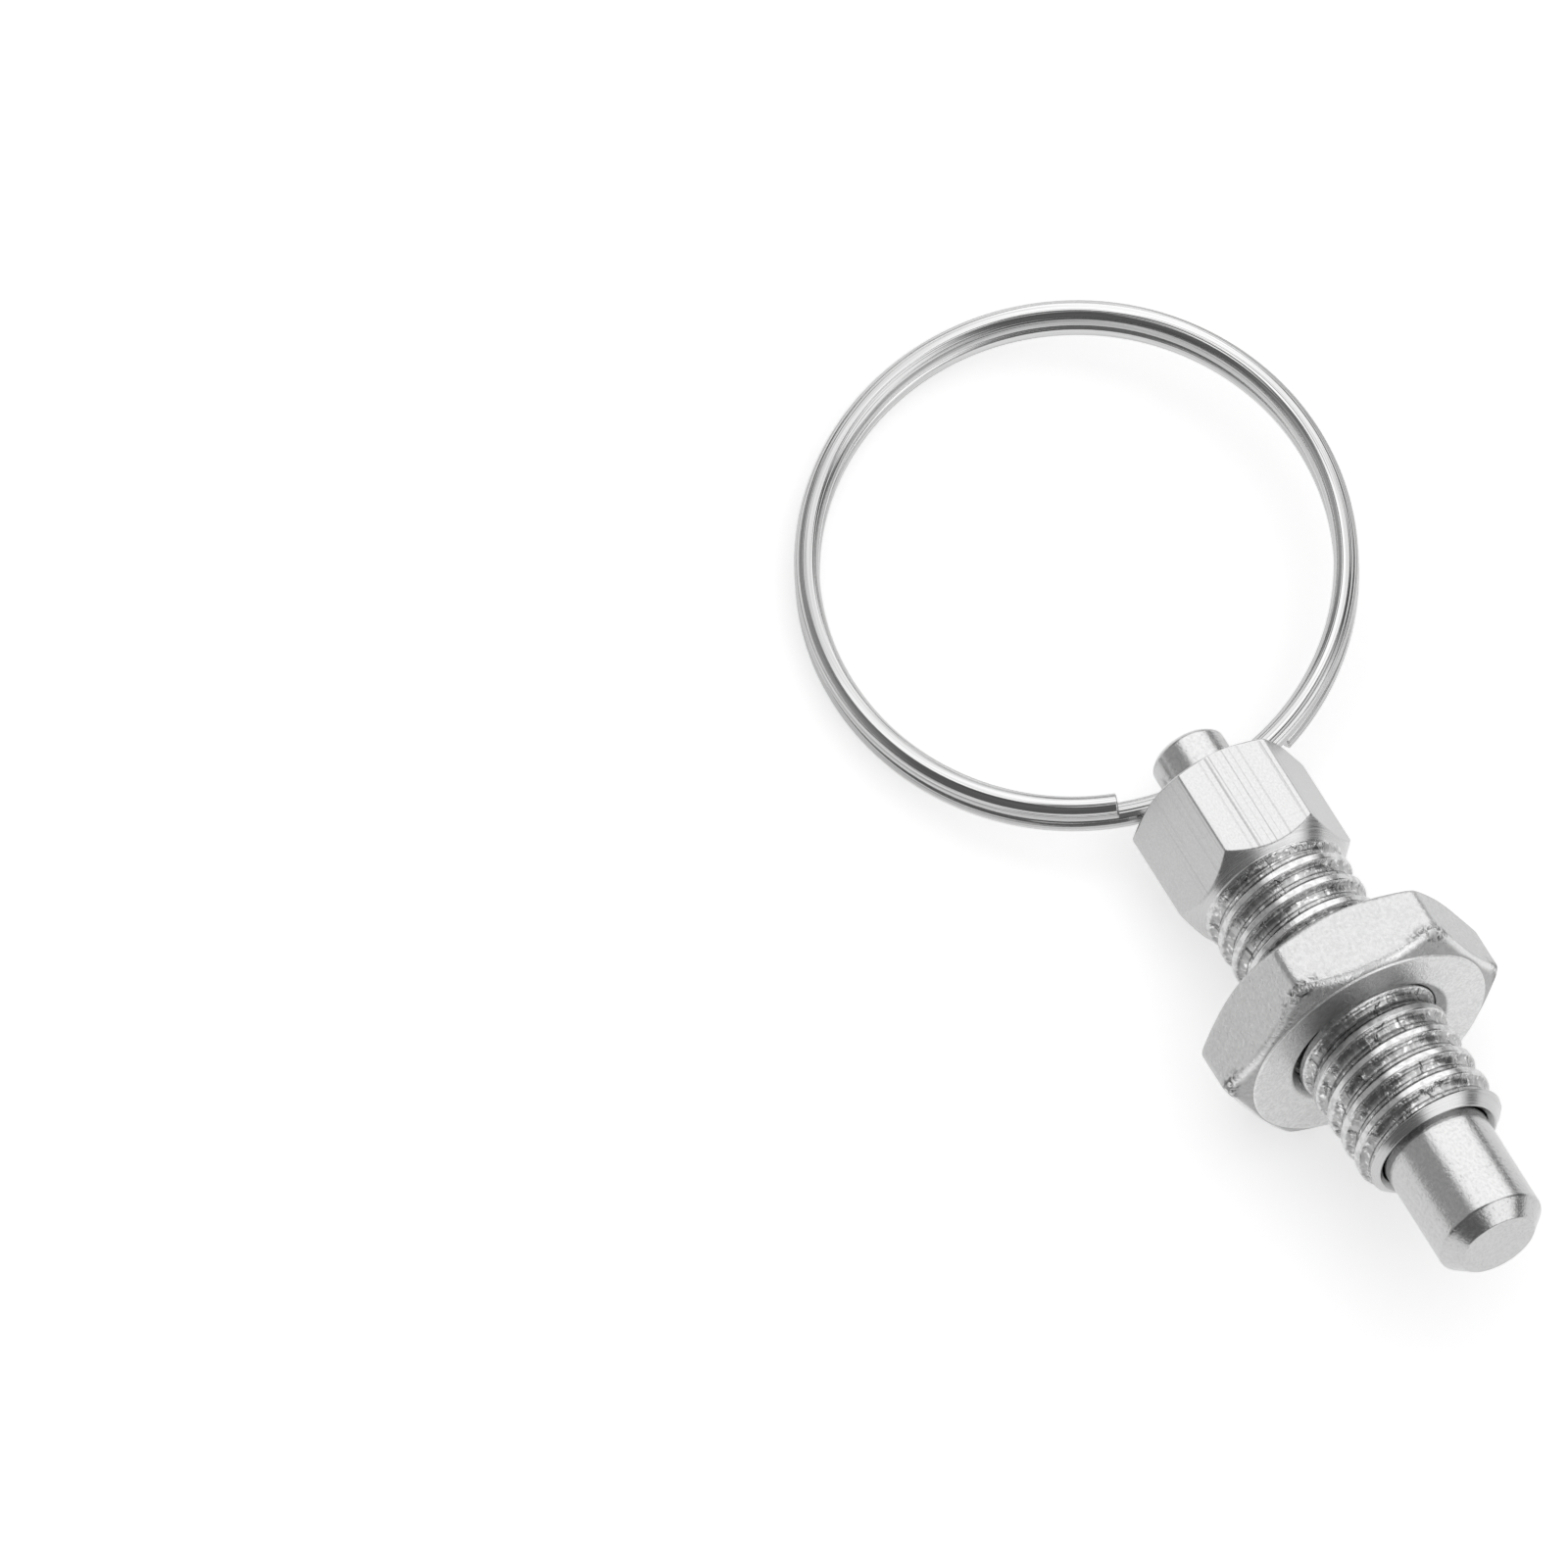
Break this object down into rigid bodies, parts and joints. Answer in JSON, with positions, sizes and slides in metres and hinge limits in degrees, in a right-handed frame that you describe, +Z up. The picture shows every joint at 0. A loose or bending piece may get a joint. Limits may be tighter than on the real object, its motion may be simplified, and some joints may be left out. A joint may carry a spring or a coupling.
{
  "type": "indexing plunger",
  "caption": "Spring-loaded indexing plunger: threaded hex body, lock nut, steel pin with chamfered nose and a split pull ring.",
  "frame": {"origin": "centre of the bounding box at table level, the plunger lying as it comes to rest", "axes": "+Z up from the table; +X along the plunger seen from above, from the nose to the ring; the pin's axis is parallel to the XZ plane and falls towards +X by 11.83 degrees"},
  "size_m": [0.072, 0.0352, 0.0176],
  "materials": {
    "turned_steel": "satin",
    "ground_pin": "ground",
    "spring_wire": "drawn wire",
    "nut_steel": "satin",
    "polished_wire": "polished"
  },
  "bodies": {
    "housing": {"housing": "turned_steel"},
    "spring": {"return_spring": "spring_wire"},
    "pin": {"plunger_pin": "ground_pin"},
    "ring": {"pull_ring": "polished_wire"},
    "nut": {"lock_nut": "nut_steel"}
  },
  "joints": [
    {"name": "pin_spin", "type": "hinge", "parent": "housing", "child": "spring", "pos_m": [-0.00369, -0.00034, 0.00607], "axis": [0.9788, 0, -0.205], "continuous": true},
    {"name": "pin_pull", "type": "slide", "parent": "spring", "child": "pin", "axis": [0.9788, 0, -0.205], "range_m": [0, 0.0079], "stiffness_N_per_m": 1600, "springref_m": -0.006, "deforming": ["return_spring"]},
    {"name": "ring_swing", "type": "hinge", "parent": "pin", "child": "ring", "pos_m": [0.00164, -0.00034, 0.00495], "axis": [-0.0285, 0.9903, -0.1362], "range_deg": [-55.71, 72.29]},
    {"name": "lock_nut_travel", "type": "slide", "parent": "housing", "child": "nut", "axis": [0.9788, 0, -0.205], "range_m": [-0.00805, 0.0074]}
  ]
}
